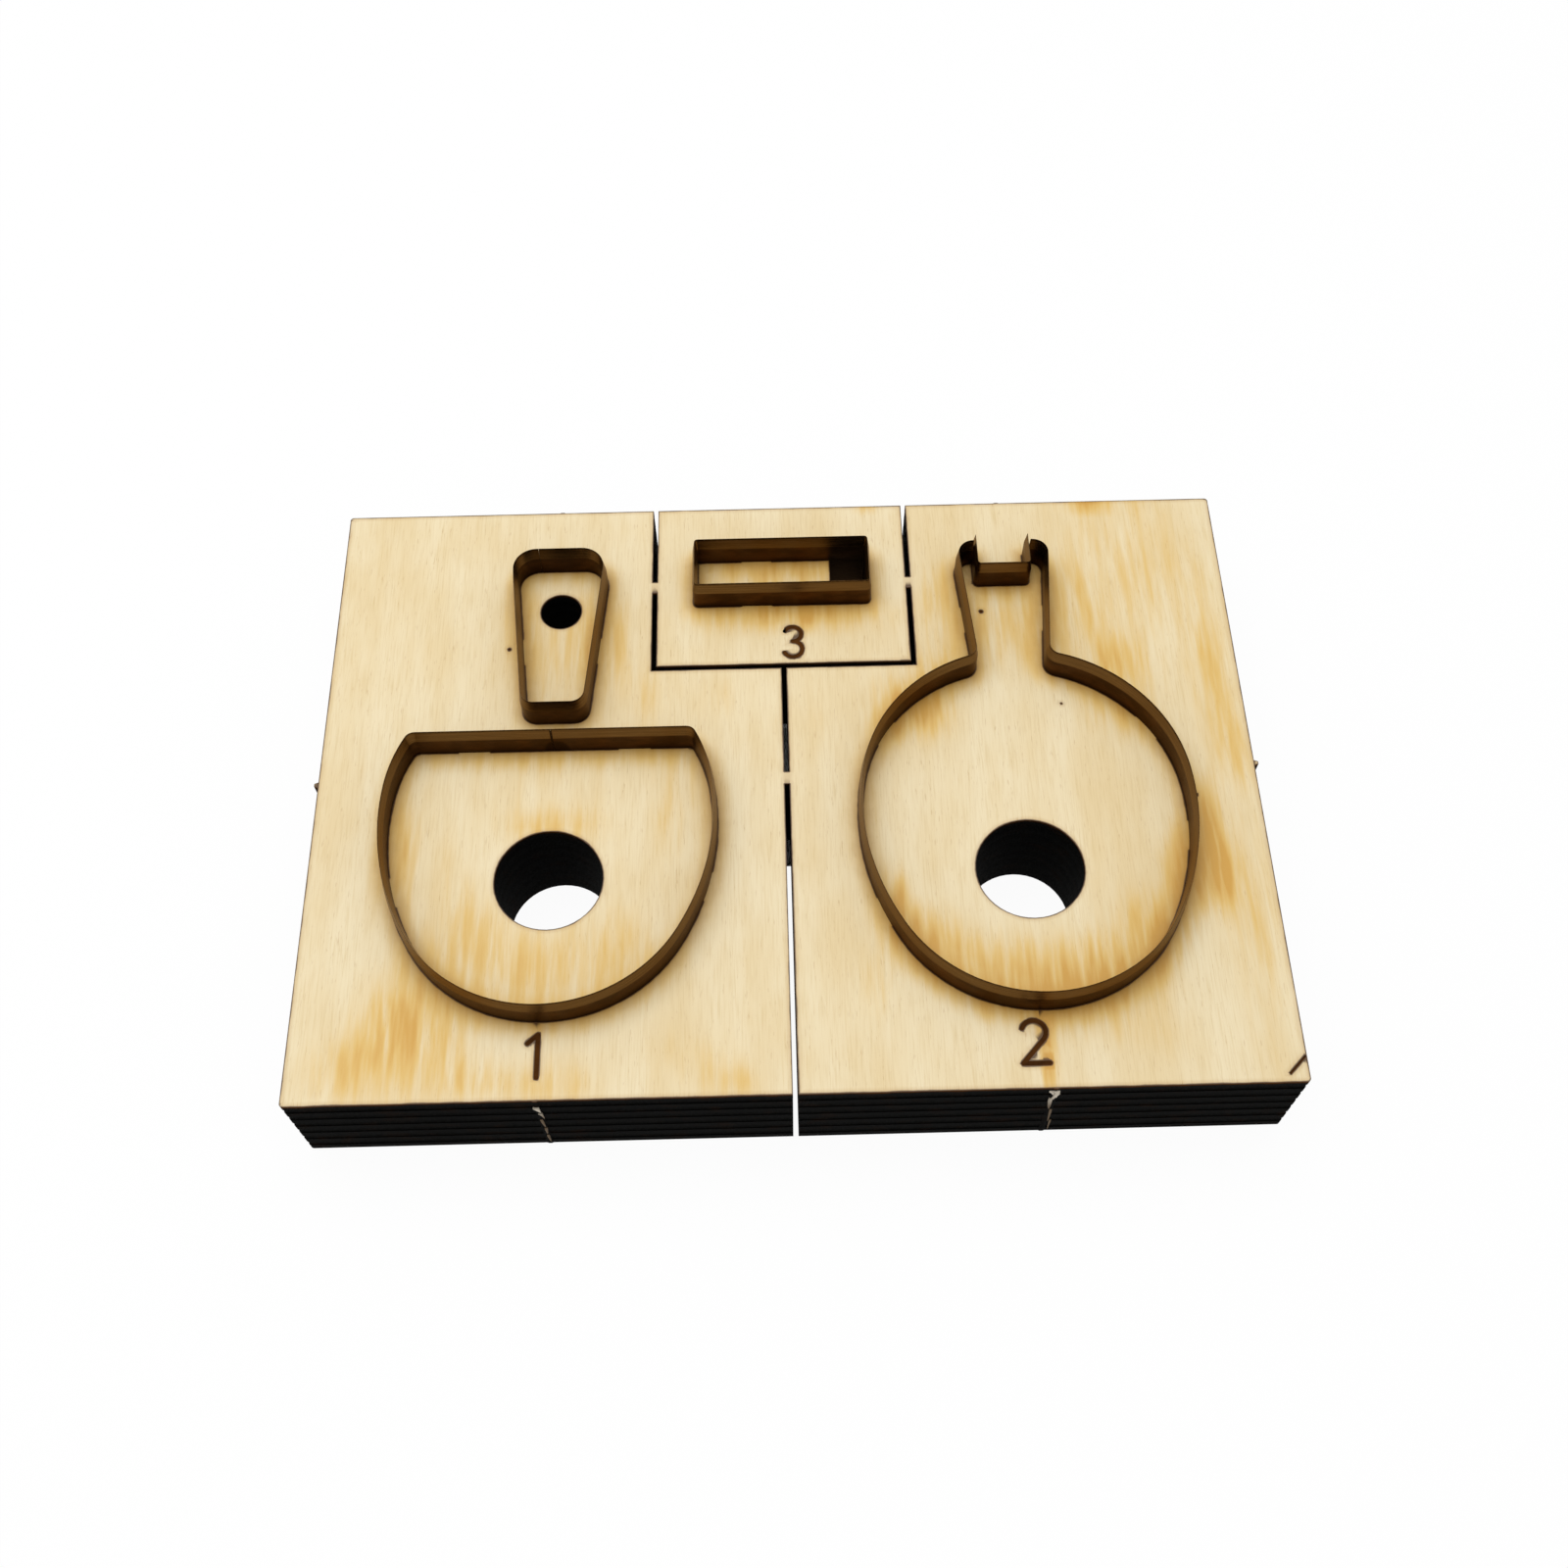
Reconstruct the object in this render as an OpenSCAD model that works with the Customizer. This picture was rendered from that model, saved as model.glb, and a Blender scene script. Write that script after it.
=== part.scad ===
// Steel rule die for leather: cutting rules bent to three patterns and pressed into a plywood board

/* [Board] */
// Width of the board, left to right
board_w = 140; // [130:1:180]
// Depth of the board, front to back
board_d = 100; // [96:1:130]
// Thickness of the plywood
board_t = 18; // [15:0.5:19]
// Radius of the board's outer corners
board_corner_r = 0.5; // [0.4:0.1:4]
// Number of veneers in the plywood
ply_count = 13; // [9:2:15]
// How far the laser burns the cross-grain veneers back from the outer edge
ply_burn = 0.12; // [0.05:0.01:0.3]
// Width of the laser cut that divides the board into sections
slit_w = 0.75; // [0.5:0.05:1.2]
// Width of the small wood bridges that keep the sections together
slit_bridge_w = 2.1; // [1.5:0.1:4]
// Where the bridge in the middle slit lies, in front of the board's middle
mid_bridge_y = 0.65; // [-8:0.05:20]
// Distance of the two outer lanes from the board's middle
lane_x = 34.9; // [32:0.1:38]
// Width of the snapped holding tabs left on the outer edges
tab_w = 0.9; // [0.6:0.1:3]
// Distance of the front and back tabs from the board's middle
tab_x = 35.4; // [25:0.1:50]
// How far a snapped tab stands out at the left and right edges
tab_out = 0.6; // [0.2:0.1:1]
// How far a snapped tab stands out at the front and back edges
front_tab_out = 0.1; // [0.1:0.1:1]
// Length of the engraved stroke across the front right corner
mark_len = 3.6; // [2:0.1:6]
// Width of that stroke
mark_w = 0.3; // [0.3:0.1:1]
// Depth of that stroke
mark_depth = 0.2; // [0.1:0.1:1]
// Distance of the stroke's middle from the right edge
mark_inset_x = 1.45; // [1.4:0.05:4]
// Distance of the stroke's middle from the front edge
mark_inset_y = 2.45; // [1.4:0.05:4]

/* [Cutting rule] */
// Height of the rule from its foot to the cutting edge
rule_h = 23.8; // [22.8:0.1:32]
// Thickness of the rule
rule_t = 0.71; // [0.5:0.01:0.9]
// Height of the ground bevel on both sides of the cutting edge
bevel_h = 2.2; // [1:0.1:2.6]
// Width of the flat left on the cutting edge
edge_flat = 0.04; // [0.03:0.01:0.1]
// How much thinner the rule gets where it is bent
bend_thinning = 0.01; // [0.006:0.002:0.02]
// Gap between the rule and each wall of its slot, none for a press fit
slot_clearance = 0; // [0:0.005:0.05]
// Gap left where the two ends of a strip meet
seam_gap = 0.05; // [0.05:0.01:0.3]
// Width of the uncut wood bridges across the slots
bridge_w = 5; // [3:0.5:7]
// Gap between a bridge and the notch in the rule above and beside it
notch_clearance = 0.1; // [0.1:0.05:0.6]

/* [Oval of the dome and the paddle] */
// Radius of the rear end of the oval
oval_rear_r = 24.1; // [22:0.1:25]
// Radius of the front end of the oval
oval_front_r = 22; // [20:0.1:24]
// Radius of the oval's sides
oval_side_r = 38; // [34:0.5:60]
// Distance between the centres of the two ends
oval_len = 9.8; // [7:0.2:12]
// Where the front end's centre lies, in front of the board's middle
oval_front_y = 16.3; // [14:0.1:20]
// Diameter of the finger hole inside each oval
finger_hole_d = 15.8; // [10:0.2:24]
// Where the finger holes lie, in front of the board's middle
finger_hole_y = 16.7; // [12:0.1:20]

/* [Dome] */
// Distance from the rear centre of the oval to the flat side
dome_flat = 11.8; // [9:0.1:14]
// Bend radius at the two ends of the flat side
dome_corner_r = 1.5; // [1:0.1:4]

/* [Paddle] */
// Width of the neck where it leaves the oval
neck_root_w = 11; // [9:0.1:12]
// Width of the neck at the shoulders
neck_top_w = 14.4; // [13.4:0.1:18]
// Where the shoulders lie, behind the board's middle
shoulder_y = 38.2; // [34:0.1:40]
// Bend radius of the shoulders
shoulder_r = 2.5; // [1:0.1:3]
// Bend radius between the neck and the oval
root_r = 1.8; // [1:0.1:3]
// Width of the notch between the shoulders
notch_w = 8.2; // [5:0.1:9]
// Depth of the notch below the shoulders
notch_depth = 4.4; // [3:0.1:10]
// How far the arms of the notch run past the shoulders
notch_past = 1.1; // [0.5:0.1:2]
// Bend radius in the corners of the notch
notch_bend_r = 0.5; // [0.5:0.1:2]

/* [Strap] */
// Where the strap's back wall lies, behind the board's middle
strap_rear_y = 38.5; // [34:0.1:42]
// Where the strap's front wall lies, behind the board's middle
strap_front_y = 10.1; // [9:0.1:16]
// Width of the strap at its back wall
strap_rear_w = 14.8; // [12:0.1:18]
// Width of the strap at its front wall
strap_front_w = 9.2; // [8:0.1:11]
// Bend radius of the back corners
strap_rear_r = 3.5; // [1:0.1:4]
// Bend radius of the front corners
strap_front_r = 2; // [1:0.1:3]
// Distance of the strap's seam from the left end of its straight back wall
strap_seam = 0.3; // [0.3:0.1:1.5]
// Diameter of the hole through the board inside the strap
strap_hole_d = 6.4; // [4:0.1:7]
// Where that hole lies, behind the board's middle
strap_hole_y = 30.4; // [25:0.1:32]

/* [Bar] */
// Width of the bar
bar_w = 27.3; // [22:0.1:34]
// Depth of the bar
bar_d = 8.6; // [7:0.1:12]
// Where the bar's middle lies, behind the board's middle
bar_y = 35.3; // [34:0.1:38]
// Bend radius of the bar's corners
bar_bend_r = 0.5; // [0.5:0.1:2]
// Width of the window through the board at the right end of the bar
window_w = 5.9; // [4.5:0.1:9]
// Width of the middle section that holds the bar
insert_w = 40.3; // [38:0.1:42]
// Where the middle section's front slit lies, behind the board's middle
insert_front_y = 19.3; // [16:0.1:24]

/* [Hidden] */
$fn = 96;
past = 1;
lap = 0.05;
cut_across = 4;
ply_t = board_t / ply_count;
slot_w = rule_t + 2 * slot_clearance;
notch_top_z = board_t + notch_clearance;
notch_open_w = bridge_w + 2 * notch_clearance;
notch_round_r = 3 * notch_clearance;

// Oval: the centre of its side arcs lies on the far side of the middle line
front_y = -oval_front_y;
rear_y = front_y + oval_len;
rear_reach = oval_side_r - oval_rear_r;
front_reach = oval_side_r - oval_front_r;
side_y = (front_y + rear_y + (front_reach * front_reach - rear_reach * rear_reach) / oval_len) / 2;
side_x = sqrt(rear_reach * rear_reach - (rear_y - side_y) * (rear_y - side_y));
rear_turn = atan2(rear_y - side_y, side_x);
front_turn = atan2(side_y - front_y, side_x);

// Dome: the flat side meets the rear arc in two small bends
flat_half = sqrt(pow(oval_rear_r - dome_corner_r, 2) - pow(dome_flat - dome_corner_r, 2));
flat_turn = atan2(dome_flat - dome_corner_r, flat_half);

// Paddle: the neck leaves the rear arc through a bend to the other side
head_y = rear_y + oval_rear_r;
flare = atan2((neck_top_w - neck_root_w) / 2, shoulder_y - head_y);
along = [sin(flare), cos(flare)];
across = [cos(flare), -sin(flare)];
root = [neck_root_w / 2, oval_rear_r] + root_r * across;
root_run = -root * along + sqrt(pow(root * along, 2) - root * root + pow(oval_rear_r + root_r, 2));
root_centre = root + root_run * along;
root_turn = atan2(root_centre[1], root_centre[0]);
neck_start = root_centre - root_r * across;
shoulder_end_x = (notch_w + rule_t) / 2;
shoulder_flat = 0.2;
shoulder_room = neck_top_w / 2 - shoulder_end_x - shoulder_flat;
shoulder_bend_r = min(shoulder_r, shoulder_room / tan(45 + flare / 2));
shoulder_low = shoulder_y - rear_y - shoulder_bend_r * (1 + sin(flare));
neck_run = (shoulder_low - neck_start[1]) / cos(flare);
shoulder_x = neck_start[0] + neck_run * sin(flare) - shoulder_bend_r * cos(flare);
notch_arm = notch_depth + notch_past - notch_bend_r;

// Strap: straight sides that draw in towards the front
strap_len = strap_rear_y - strap_front_y;
draw_in = atan2((strap_rear_w - strap_front_w) / 2, strap_len);
strap_rear_bend = strap_rear_r * tan(45 + draw_in / 2);
strap_front_bend = strap_front_r * tan(45 - draw_in / 2);
strap_rear_flat = strap_rear_w - 2 * strap_rear_bend;
strap_front_flat = strap_front_w - 2 * strap_front_bend;
strap_side = strap_len / cos(draw_in) - strap_rear_bend - strap_front_bend;

// A path is a start [x, y, heading] and steps [length, 0] for a straight or [radius, turn] for a bend
oval_side = [oval_side_r, rear_turn + front_turn];
oval_front = [oval_front_r, 180 - 2 * front_turn];

dome_start = [-lane_x, rear_y + dome_flat, 180];
dome_half = [[flat_half, 0], [dome_corner_r, 90 - flat_turn], [oval_rear_r, flat_turn - rear_turn], oval_side];
dome_path = concat(dome_half, [oval_front], reverse(dome_half));
dome_bridges = [[0, 0.6], [3, 0.6], [5, 0.4], [8, 0.4]];

paddle_start = [lane_x - shoulder_end_x, shoulder_y, 180];
paddle_half = [
    [shoulder_x - shoulder_end_x, 0],
    [shoulder_bend_r, 90 + flare],
    [neck_run, 0],
    [root_r, -root_turn - flare],
    [oval_rear_r, root_turn - rear_turn],
    oval_side
];
paddle_path = concat(paddle_half, [oval_front], reverse(paddle_half));
paddle_bridges = [[2, 0.5], [4, 0.6], [5, 0.8], [7, 0.66], [8, 0.4], [10, 0.5]];

notch_start = [lane_x - notch_w / 2, shoulder_y + notch_past, 270];
notch_bend = [notch_bend_r, 90];
notch_path = [[notch_arm, 0], notch_bend, [notch_w - 2 * notch_bend_r, 0], notch_bend, [notch_arm, 0]];

strap_start = [-lane_x - strap_rear_flat / 2 + strap_seam, strap_rear_y, 180];
strap_path = [
    [strap_seam, 0],
    [strap_rear_r, 90 + draw_in],
    [strap_side, 0],
    [strap_front_r, 90 - draw_in],
    [strap_front_flat, 0],
    [strap_front_r, 90 - draw_in],
    [strap_side, 0],
    [strap_rear_r, 90 + draw_in],
    [strap_rear_flat - strap_seam, 0]
];
strap_bridges = [[2, 0.52], [6, 0.48]];

bar_start = [-bar_w / 2, bar_y, 270];
bar_bend = [bar_bend_r, 90];
bar_long = [bar_w - 2 * bar_bend_r, 0];
bar_short = [bar_d - 2 * bar_bend_r, 0];
bar_path = [
    [bar_short[0] / 2, 0], bar_bend, bar_long, bar_bend, bar_short,
    bar_bend, bar_long, bar_bend, [bar_short[0] / 2, 0]
];
bar_bridges = [[2, 0.35], [6, 0.65]];

function reverse(list) = [for (i = [len(list) - 1:-1:0]) list[i]];

function side_of(turn) = turn < 0 ? -1 : 1;

function bend_centre(p, s) = [p[0], p[1]] + side_of(s[1]) * s[0] * [-sin(p[2]), cos(p[2])];

function after_bend(c, s, h) = [
    c[0] + side_of(s[1]) * s[0] * sin(h),
    c[1] - side_of(s[1]) * s[0] * cos(h),
    h
];

function after(p, s) = s[1] == 0
    ? [p[0] + s[0] * cos(p[2]), p[1] + s[0] * sin(p[2]), p[2]]
    : after_bend(bend_centre(p, s), s, p[2] + s[1]);

function part_of(s, f) = s[1] == 0 ? [s[0] * f, 0] : [s[0], s[1] * f];

function place(start, path, i) = i == 0 ? start : after(place(start, path, i - 1), path[i - 1]);

function along_path(start, path, b) = after(place(start, path, b[0]), part_of(path[b[0]], b[1]));

module at(p) {
    translate([p[0], p[1], 0])
        rotate([0, 0, p[2]])
            children();
}

// One step of a path, from the origin towards +X, with the section's height along Z
module step_along(s, reach) {
    if (s[1] == 0) {
        rotate([90, 0, 90])
            linear_extrude(s[0])
                children();
    } else {
        turn = abs(s[1]);
        extra = reach / s[0] * 180 / PI;
        translate([0, side_of(s[1]) * s[0], 0])
            rotate([0, 0, (s[1] > 0 ? -90 : 90 - turn) - extra])
                rotate_extrude(angle = turn + 2 * extra)
                    translate([s[0], 0])
                        children();
    }
}

// Every second step is a bend that is a little thinner and laps into the steps beside it
module sweep(start, path) {
    for (i = [0:len(path) - 1]) {
        $thin = i % 2 * bend_thinning / 2;
        at(place(start, path, i))
            step_along(path[i], i % 2 * lap)
                children();
    }
}

// Section of the rule: flat body, double bevel and a narrow cutting edge
module rule_section() {
    body = rule_t / 2 - $thin;
    edge = edge_flat / 2 - $thin;
    top = rule_h - $thin;
    polygon([
        [-body, 0],
        [body, 0],
        [body, rule_h - bevel_h],
        [edge, top],
        [-edge, top],
        [-body, rule_h - bevel_h]
    ]);
}

module slot_section() {
    w = slot_w - 2 * $thin;
    translate([-w / 2, -past])
        square([w, board_t + 2 * past]);
}

// Notch that lets the rule step over a bridge, with rounded upper corners
module bridge_notch() {
    rotate([90, 0, 0])
        linear_extrude(cut_across, center = true)
            union() {
                translate([-notch_open_w / 2, -past])
                    square([notch_open_w, notch_top_z - notch_round_r + past]);
                translate([-notch_open_w / 2 + notch_round_r, 0])
                    square([notch_open_w - 2 * notch_round_r, notch_top_z]);
                for (side = [-1, 1])
                    translate([side * (notch_open_w / 2 - notch_round_r), notch_top_z - notch_round_r])
                        circle(notch_round_r);
            }
}

module bent_rule(start, path, bridges) {
    difference() {
        sweep(start, path)
            rule_section();
        for (b = bridges)
            at(along_path(start, path, b))
                bridge_notch();
    }
}

// A strip whose ends meet again leaves a narrow seam there
module closed_rule(start, path, bridges) {
    difference() {
        bent_rule(start, path, bridges);
        at(start)
            translate([-seam_gap / 2, -cut_across / 2, -past])
                cube([seam_gap, cut_across, rule_h + 2 * past]);
    }
}

module rule_slot(start, path, bridges) {
    difference() {
        union() {
            sweep(start, path)
                slot_section();
            at(start)
                translate([-lap, -slot_w / 2, -past])
                    cube([2 * lap, slot_w, board_t + 2 * past]);
        }
        for (b = bridges)
            at(along_path(start, path, b))
                translate([-bridge_w / 2, -cut_across / 2, -2 * past])
                    cube([bridge_w, cut_across, board_t + 4 * past]);
    }
}

module board_outline(inset) {
    w = board_w - 2 * inset;
    d = board_d - 2 * inset;
    union() {
        square([w - 2 * board_corner_r, d], center = true);
        square([w, d - 2 * board_corner_r], center = true);
        for (x = [-1, 1], y = [-1, 1])
            translate([x * (w / 2 - board_corner_r), y * (d / 2 - board_corner_r)])
                circle(board_corner_r);
    }
}

// Plywood with every second veneer burnt back a little along the outer edge
module plywood() {
    for (i = [0:ply_count - 1])
        translate([0, 0, i * ply_t])
            linear_extrude(ply_t)
                board_outline(i % 2 == 0 ? 0 : ply_burn);
}

// Stump of a holding tab on the right edge, broken off towards +X
module tab_stump(out) {
    linear_extrude(board_t)
        polygon([
            [-past, -tab_w / 2],
            [0, -tab_w / 2],
            [out, -tab_w / 4],
            [out, tab_w / 4],
            [0, tab_w / 2],
            [-past, tab_w / 2]
        ]);
}

module tabs() {
    for (turn = [0, 180])
        rotate([0, 0, turn])
            translate([board_w / 2, 0, 0])
                tab_stump(tab_out);
    for (x = [-tab_x, tab_x], y = [-1, 1])
        translate([x, y * board_d / 2, 0])
            rotate([0, 0, y * 90])
                tab_stump(front_tab_out);
}

module slit(length) {
    translate([0, -slit_w / 2, -past])
        cube([length, slit_w, board_t + 2 * past]);
}

// A slit of the given length that starts at the origin, with a bridge at the given distance
module bridged_slit(length, bridge) {
    slit(bridge - slit_bridge_w / 2);
    translate([bridge + slit_bridge_w / 2, 0, 0])
        slit(length - bridge - slit_bridge_w / 2);
}

module section_slits() {
    side_len = board_d / 2 - insert_front_y;
    for (x = [-insert_w / 2, insert_w / 2])
        translate([x, insert_front_y, 0])
            rotate([0, 0, 90])
                bridged_slit(side_len + past, side_len / 2);
    translate([-(insert_w + slit_w) / 2, insert_front_y, 0])
        slit(insert_w + slit_w);
    translate([0, insert_front_y, 0])
        rotate([0, 0, -90])
            bridged_slit(board_d / 2 + insert_front_y + past, insert_front_y + mid_bridge_y);
}

module through_hole(x, y, d) {
    translate([x, y, -past])
        cylinder(d = d, h = board_t + 2 * past);
}

module bar_window() {
    translate([bar_w / 2 - window_w, bar_y - bar_d / 2, -past])
        cube([window_w, bar_d, board_t + 2 * past]);
}

// Shallow engraved stroke across the front right corner
module corner_mark() {
    translate([board_w / 2 - mark_inset_x, mark_inset_y - board_d / 2, board_t])
        rotate([0, 0, 45])
            cube([mark_len, mark_w, 2 * mark_depth], center = true);
}

module die_board() {
    color("BurlyWood")
        difference() {
            union() {
                plywood();
                tabs();
            }
            rule_slot(dome_start, dome_path, dome_bridges);
            rule_slot(strap_start, strap_path, strap_bridges);
            rule_slot(bar_start, bar_path, bar_bridges);
            rule_slot(paddle_start, paddle_path, paddle_bridges);
            rule_slot(notch_start, notch_path, []);
            section_slits();
            bar_window();
            through_hole(-lane_x, -finger_hole_y, finger_hole_d);
            through_hole(lane_x, -finger_hole_y, finger_hole_d);
            through_hole(-lane_x, strap_hole_y, strap_hole_d);
            corner_mark();
        }
}

module dome_rule() {
    color("SlateGray")
        closed_rule(dome_start, dome_path, dome_bridges);
}

module strap_rule() {
    color("SlateGray")
        closed_rule(strap_start, strap_path, strap_bridges);
}

module bar_rule() {
    color("SlateGray")
        closed_rule(bar_start, bar_path, bar_bridges);
}

module paddle_rule() {
    color("SlateGray")
        bent_rule(paddle_start, paddle_path, paddle_bridges);
}

module notch_rule() {
    color("SlateGray")
        bent_rule(notch_start, notch_path, []);
}

die_board();
dome_rule();
strap_rule();
bar_rule();
paddle_rule();
notch_rule();
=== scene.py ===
import math

import bmesh
import bpy
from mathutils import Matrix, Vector
from mathutils.bvhtree import BVHTree


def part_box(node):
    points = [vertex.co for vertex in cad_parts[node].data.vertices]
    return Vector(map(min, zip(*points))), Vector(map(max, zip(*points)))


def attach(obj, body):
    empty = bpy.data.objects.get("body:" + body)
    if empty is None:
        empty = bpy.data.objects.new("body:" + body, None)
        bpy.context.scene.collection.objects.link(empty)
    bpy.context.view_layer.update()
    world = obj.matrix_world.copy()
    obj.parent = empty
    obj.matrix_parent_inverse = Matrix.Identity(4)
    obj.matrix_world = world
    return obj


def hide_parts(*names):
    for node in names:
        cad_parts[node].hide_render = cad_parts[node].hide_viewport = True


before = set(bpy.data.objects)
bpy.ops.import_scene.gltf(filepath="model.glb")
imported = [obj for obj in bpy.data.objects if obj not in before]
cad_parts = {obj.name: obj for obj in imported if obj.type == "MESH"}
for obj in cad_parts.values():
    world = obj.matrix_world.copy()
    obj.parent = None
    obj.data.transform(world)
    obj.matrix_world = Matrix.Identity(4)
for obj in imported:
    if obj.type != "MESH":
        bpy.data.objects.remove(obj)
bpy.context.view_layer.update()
mm = 0.001
ruleNames = ["dome_rule", "strap_rule", "bar_rule", "paddle_rule", "notch_rule"]
boardLow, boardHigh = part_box("die_board")
boardTop = boardHigh.z
print("frame loaded, board top at", round(boardTop / mm, 2), "mm")


def tone(red, green, blue):
    # a screen colour from 0 to 255 as the linear colour that a socket takes
    def linear(level):
        level /= 255
        return level / 12.92 if level <= 0.04045 else ((level + 0.055) / 1.055) ** 2.4
    return (linear(red), linear(green), linear(blue), 1)


def activate(piece):
    if bpy.context.object and bpy.context.object.mode != "OBJECT":
        bpy.ops.object.mode_set(mode="OBJECT")
    bpy.ops.object.select_all(action="DESELECT")
    piece.select_set(True)
    bpy.context.view_layer.objects.active = piece


def applyPlace(piece):
    activate(piece)
    bpy.ops.object.transform_apply(location=True, rotation=True, scale=True)


def joinPieces(pieces, name):
    activate(pieces[0])
    for piece in pieces:
        piece.select_set(True)
    bpy.ops.object.join()
    joined = bpy.context.object
    joined.name = name
    joined.data.name = name
    return joined


def pickVertices(piece, test):
    # selects the vertices that pass the test and leaves the piece in edit mode
    activate(piece)
    bpy.ops.object.mode_set(mode="EDIT")
    bpy.ops.mesh.select_mode(type="VERT")
    bpy.ops.mesh.select_all(action="DESELECT")
    bpy.ops.object.mode_set(mode="OBJECT")
    for vertex in piece.data.vertices:
        vertex.select = test(vertex.co)
    bpy.ops.object.mode_set(mode="EDIT")


# Plywood board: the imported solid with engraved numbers, pierce marks and a fine grid for the scorch

board = {
    "strokeWidth": 0.66 * mm,
    "strokeSteps": 14,
    "strokeRounding": 3,
    "ballSegments": 12,         # of the balls that round the ends of a stroke
    "ballRings": 8,
    "numbers": {                # middle of the foot in x and y, and the height, in mm
        "1": (-35.5, -46.7, 6.2),
        "2": (33.0, -46.4, 6.2),
        "3": (1.5, 20.9, 5.6),
    },
    "pierceMarks": [            # where the laser broke through beside a line: x, y and radius in mm
        (-42.7, 23.5, 0.24),
        (31.3, 28.6, 0.3),
        (42.2, 11.2, 0.14),
        (60.6, -5.2, 0.26),
    ],
    "pierceRounding": 2,
    "grooveShare": 0.6,         # depth of a groove as a share of half its width
    "mergeGap": 0.00001 * mm,   # corners closer than this are one
    "heightDigits": 5,          # decimals to which heights are told apart, in mm
    "hairGap": (0.00005, 0.001),    # least and most of a gap between two veneers that is closed, in mm
    "hairSpread": 0.00002,      # how far a corner may lie from the height of its veneer, in mm
    "hairLift": 0.002 * mm,
    "grid": 1.6 * mm,
    "gridShift": 0.37,          # of the grid lines, as a share of the grid
    "cornerGrid": 0.35 * mm,    # finer grid round the stroke at the front right corner
    "cornerLines": 8,
    "smoothAngle": 28,
}


def arcPoints(x, y, radius, start, sweep):
    steps = board["strokeSteps"]
    angles = [math.radians(start + sweep * i / steps) for i in range(steps + 1)]
    return [(x + radius * math.cos(a), y + radius * math.sin(a)) for a in angles]


# strokes of the numbers in a box one unit high, middle of the foot at the origin
numberStrokes = {
    "1": [[(-0.2, 0.8), (0.03, 1)], [(0.03, 1), (0.03, 0)]],
    "2": [arcPoints(0, 0.73, 0.27, 160, -200) + [(-0.29, 0)], [(-0.29, 0), (0.3, 0)]],
    "3": [arcPoints(0, 0.76, 0.24, 155, -245), arcPoints(0, 0.26, 0.26, 90, -245)],
}


def grooveTool(points):
    # a round bar bent along the stroke, with a ball at both ends
    radius = board["strokeWidth"] / 2
    bpy.ops.object.select_all(action="DESELECT")
    bpy.ops.curve.primitive_nurbs_path_add(location=(0, 0, 0))
    bar = bpy.context.object
    bar.data.splines.clear()
    stroke = bar.data.splines.new("POLY")
    stroke.points.add(len(points) - 1)
    for knot, (x, y) in zip(stroke.points, points):
        knot.co = (x, y, boardTop, 1)
    bar.data.bevel_depth = radius
    bar.data.bevel_resolution = board["strokeRounding"]
    bar.data.use_fill_caps = True
    bpy.ops.object.convert(target="MESH")
    parts = [bpy.context.object]
    for x, y in (points[0], points[-1]):
        bpy.ops.mesh.primitive_uv_sphere_add(
            segments=board["ballSegments"],
            ring_count=board["ballRings"],
            radius=radius,
            location=(x, y, boardTop),
        )
        parts.append(bpy.context.object)
        applyPlace(parts[-1])
    return joinPieces(parts, "grooveTool")


def pierceTool(x, y, radius):
    rounding = board["pierceRounding"]
    bpy.ops.object.select_all(action="DESELECT")
    bpy.ops.mesh.primitive_ico_sphere_add(subdivisions=rounding, radius=radius, location=(x, y, boardTop))
    tool = bpy.context.object
    applyPlace(tool)
    return tool


def makeEngraver():
    # all grooves and pierce marks as one tool, flattened to their depth
    tools = []
    for digit, (x, y, height) in board["numbers"].items():
        for stroke in numberStrokes[digit]:
            tools.append(grooveTool([((x + height * u) * mm, (y + height * v) * mm) for u, v in stroke]))
    tools += [pierceTool(x * mm, y * mm, radius * mm) for x, y, radius in board["pierceMarks"]]
    engraver = joinPieces(tools, "engraver")
    bpy.ops.object.mode_set(mode="EDIT")
    bpy.ops.mesh.select_all(action="SELECT")
    bpy.ops.transform.resize(value=(1, 1, board["grooveShare"]), center_override=(0, 0, boardTop))
    return engraver


def carve(piece, tool):
    activate(piece)
    bpy.ops.object.modifier_add(type="BOOLEAN")
    cut = piece.modifiers[-1]
    cut.operation = "DIFFERENCE"
    cut.solver = "EXACT"
    cut.use_self = True
    cut.object = tool
    bpy.ops.object.modifier_apply(modifier=cut.name)
    bpy.data.objects.remove(tool)


def mergeCorners(piece):
    # joins the loose triangles, and lifts a veneer's top into the next one where a hair's gap parts them
    leastGap, mostGap = board["hairGap"]
    shape = bmesh.new()
    shape.from_mesh(piece.data)
    bmesh.ops.remove_doubles(shape, verts=shape.verts, dist=board["mergeGap"])
    heights = sorted({round(corner.co.z / mm, board["heightDigits"]) for corner in shape.verts})
    for low, high in zip(heights, heights[1:]):
        if leastGap < high - low < mostGap:
            for corner in shape.verts:
                if abs(corner.co.z / mm - low) < board["hairSpread"]:
                    corner.co.z += board["hairLift"]
    shape.to_mesh(piece.data)
    shape.free()


def copyBoard():
    piece = bpy.data.objects.new("plywood_board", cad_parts["die_board"].data.copy())
    bpy.context.collection.objects.link(piece)
    piece.data.materials.clear()
    activate(piece)
    bpy.ops.mesh.customdata_custom_splitnormals_clear()
    mergeCorners(piece)
    return piece


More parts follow.
